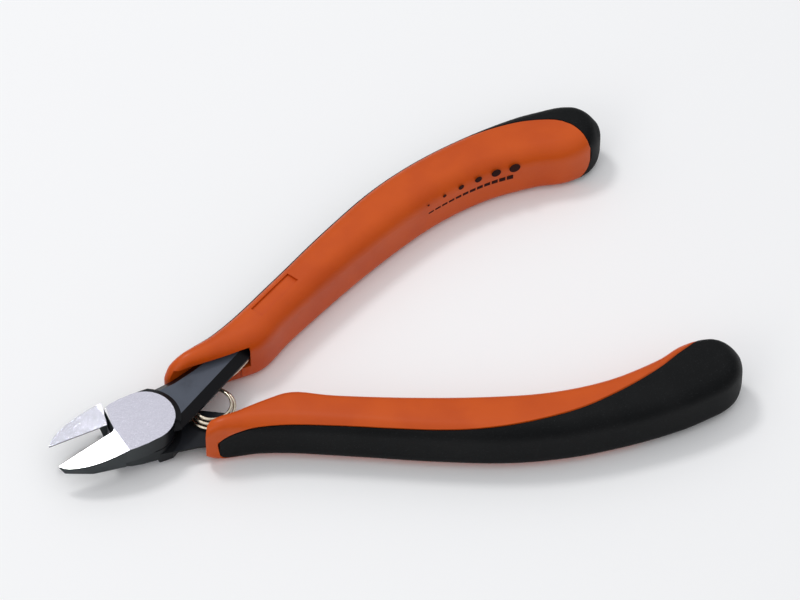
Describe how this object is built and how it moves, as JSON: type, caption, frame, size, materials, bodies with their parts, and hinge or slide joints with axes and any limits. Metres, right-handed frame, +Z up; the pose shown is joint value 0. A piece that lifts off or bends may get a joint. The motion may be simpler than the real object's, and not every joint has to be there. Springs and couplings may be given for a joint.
{
  "type": "diagonal cutting pliers",
  "caption": "Small lap-joint side cutter with a torsion return spring and curved two-colour handles.",
  "frame": {"origin": "centre of the open tool's outline in plan, on the surface it lies on", "axes": "+X from the jaw tips towards the handle ends, +Y towards the front half's handle, +Z up, along the pivot axis"},
  "size_m": [0.1354, 0.0836, 0.012],
  "materials": {
    "forged_steel": "ground and black-painted",
    "screw_steel": "burnished",
    "spring_steel": "polished",
    "handle_orange": "semi-gloss",
    "grip_black": "matte"
  },
  "bodies": {
    "pivot": {"pivot_screw": "screw_steel", "return_spring": "spring_steel"},
    "front": {"front_half": "forged_steel", "front_handle_core": "handle_orange", "front_handle_grip": "grip_black"},
    "back": {"back_half": "forged_steel", "back_handle_core": "handle_orange", "back_handle_grip": "grip_black"}
  },
  "joints": [
    {"name": "front_swing", "type": "hinge", "parent": "pivot", "child": "front", "pos_m": [-0.04826, 0, 0.005], "axis": [0, 0, 1], "range_deg": [-7.5, 0], "stiffness_Nm_per_rad": 0.6, "springref_deg": 6.88, "deforming": ["return_spring"]},
    {"name": "back_swing", "type": "hinge", "parent": "pivot", "child": "back", "pos_m": [-0.04826, 0, 0.005], "axis": [0, 0, 1], "range_deg": [0, 7.5], "stiffness_Nm_per_rad": 0.6, "springref_deg": -6.88}
  ],
  "couplings": [
    {"joint": "back_swing", "follows": "front_swing", "ratio": -1}
  ]
}
